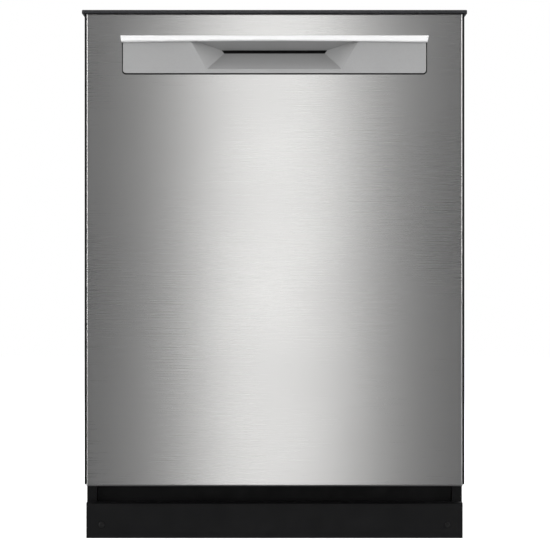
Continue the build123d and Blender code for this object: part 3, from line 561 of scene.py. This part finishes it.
def make_fold_tines():
    lines = [([(-FOLD_HALF, FOLD_Y, FOLD_Z), (FOLD_HALF, FOLD_Y, FOLD_Z)], FOLD_BAR, False)]
    lines += tines(LOWER_TINE_X, (FOLD_Y,), (FOLD_Z + 0.0007, LOWER_TINE_Z[1]))
    wire_object("fold_tines_wires", lines, "fold_tines", "rack_coat", ("fold_tines",))


def make_upper_rack():
    lines = rack_lines(UPPER_Z, 12)
    lines += tines(UPPER_TINE_X, UPPER_TINE_Y, UPPER_TINE_Z)
    wire_object("upper_rack_wires", lines, "upper_rack", "rack_coat", ("upper_rack",))
    bars, slabs = wheel_mounts((-0.140, 0.120), (0.256, 0.259), 0.014, (0.520, 0.572),
                               (0.258, 0.279), 0.560, 0.0035)
    for root, tip in SHELF_PINS:
        bars.append(((SHELF_X, root, SHELF_Z), (SHELF_X, tip, SHELF_Z), 0.002))
        outer = root + math.copysign(0.006, root)
        slabs.append(corners((-0.2516, root, SHELF_Z - 0.006), (-0.239, outer, SHELF_Z + 0.006)))
    solid_piece("upper_rack_axles", bars, slabs, "upper_rack", "light_plastic")


# ---------------------------------------------------------------- door springs
SPRING_X = 0.284
SPRING_Z = 0.118
SPRING_FRONT = (-0.149, -0.142)    # straight front end
SPRING_BACK = (0.062, 0.200)       # straight rear end
COIL_START = -0.139
COIL_LENGTH = 0.198
COIL_R = 0.0066
COIL_WIRE = 0.0013
TURNS = 62
TURN_STEPS = 12


def make_springs():
    """Counterbalance springs: close-wound coils with straight ends."""
    lines = []
    steps = TURNS * TURN_STEPS
    for side in (-1, 1):
        x = side * SPRING_X
        path = [(x, y, SPRING_Z) for y in SPRING_FRONT]
        for step in range(steps + 1):
            angle = 2 * math.pi * step / TURN_STEPS
            path.append((x + COIL_R * math.cos(angle), COIL_START + COIL_LENGTH * step / steps,
                         SPRING_Z + COIL_R * math.sin(angle)))
        path += [(x, y, SPRING_Z) for y in SPRING_BACK]
        lines.append((path, COIL_WIRE, False))
    wire_object("door_springs_coils", lines, "cabinet", "spring_steel", ("door_springs",))


# ---------------------------------------------------------------- padded mats
def ripple(height, pitch, spot):
    """Uneven lie of a mat: a height in metres, at so many swells to the metre."""
    return height * noise.noise(Vector(spot) * pitch)


BLANKET_HALF = 0.2904          # inner faces of the felt
BLANKET_TOP = 0.8116
BLANKET_BOTTOM = 0.160
BLANKET_Y = (-0.225, 0.307)
BLANKET_BEND = 0.006
BLANKET_CELL = 0.008
BLANKET_THICK = (0.0078, 0.0036)   # full, and at the edges
BLANKET_REACH = 0.010
PIN_DEPTH = 0.0035             # dents where the felt is pinned to the tub
PIN_REACH = 0.012
PIN_Y = (-0.16, 0.04, 0.24)


def make_blanket():
    """Bitumen felt wrapped over the tub's sides and top."""
    path = rounded([(-BLANKET_HALF, 0, BLANKET_BOTTOM), (-BLANKET_HALF, 0, BLANKET_TOP),
                    (BLANKET_HALF, 0, BLANKET_TOP), (BLANKET_HALF, 0, BLANKET_BOTTOM)], BLANKET_BEND)
    dense = []
    for start, end in zip(path, path[1:]):
        parts = max(1, round((end - start).length / BLANKET_CELL))
        dense += [start.lerp(end, k / parts) for k in range(parts)]
    dense.append(path[-1])
    lengths = [0.0]
    for start, end in zip(dense, dense[1:]):
        lengths.append(lengths[-1] + (end - start).length)
    total = lengths[-1]
    normals = []
    for before, after in zip(dense[:1] + dense, dense[1:] + dense[-1:]):
        along = (after - before).normalized()
        normals.append(Vector((-along.z, 0, along.x)))
    pins = [(length, y) for length in spread(0.08, total - 0.08, 9) for y in PIN_Y]

    def point(index, y, layer):
        spot = Vector((dense[index].x, y, dense[index].z))
        length = lengths[index]
        edge = min(length, total - length, y - BLANKET_Y[0], BLANKET_Y[1] - y)
        thick = swell(edge, *BLANKET_THICK, BLANKET_REACH)
        thick += ripple(0.0009, 9, spot) + ripple(0.0005, 40, spot)
        pinch = min(math.hypot(length - a, y - b) for a, b in pins)
        thick -= PIN_DEPTH * math.exp(-(pinch / PIN_REACH) ** 2)
        return spot + normals[index] * (thick if layer else 0.0002)

    mesh = shell("felt_blanket", range(len(dense)), spread(*BLANKET_Y, 68), point)
    blanket = add_piece("felt_blanket", mesh, "cabinet", "felt", ("insulation_blanket",))


MAT_HALF = 0.281
MAT_Z = (0.115, 0.738)
MAT_BACK = -0.2584
MAT_THICK = (0.0215, 0.010)    # full, and at the edges
MAT_REACH = 0.014
GAP_X = (-0.108, 0.098)        # cut-out round the dispenser
GAP_Z = (0.422, 0.568)


def make_door_mat():
    """Fibre mat inside the door, cut out round the dispenser."""

    def in_gap(x, z):
        return GAP_X[0] < x < GAP_X[1] and GAP_Z[0] < z < GAP_Z[1]

    def point(x, z, layer):
        edge = min(MAT_HALF - abs(x), z - MAT_Z[0], MAT_Z[1] - z)
        from_gap = math.hypot(max(GAP_X[0] - x, x - GAP_X[1], 0), max(GAP_Z[0] - z, z - GAP_Z[1], 0))
        thick = swell(max(min(edge, from_gap), 0), *MAT_THICK, MAT_REACH)
        thick += 0.0008 * noise.noise(Vector((x * 14, 3.0, z * 14)))
        return Vector((x, MAT_BACK - (thick if layer else 0), z))

    across = sorted({*spread(-MAT_HALF, MAT_HALF, 71), *GAP_X})
    along = sorted({*spread(*MAT_Z, 79), *GAP_Z})
    mesh = shell("fibre_mat", across, along, point, in_gap)
    mat = add_piece("fibre_mat", mesh, "door", "white_wool", ("door_insulation",))


# ---------------------------------------------------------------- door screws
SCREW_X = (0.3035, 0.3056)     # under the edge's face, and the head's top
SCREW_Y = -0.268
SCREW_Z = (0.200, 0.400, 0.600, 0.780)
SCREW_R = 0.0038
SCREW_EDGE = 0.0009            # rounding of the head


def make_screws():
    """Pan-head screws along both side edges of the door."""
    heads = [((side * SCREW_X[0], SCREW_Y, z), (side * SCREW_X[1], SCREW_Y, z), SCREW_R, SCREW_EDGE)
             for side in (-1, 1) for z in SCREW_Z]
    solid_piece("door_edge_screws", heads, [], "door", "screw_black")


# ---------------------------------------------------------------- the scene
make_camera()
make_studio()
make_floor()
looks = slot_materials()
dress_nodes()
make_lower_rack()
make_fold_tines()
make_upper_rack()
make_springs()
make_blanket()
make_door_mat()
make_screws()
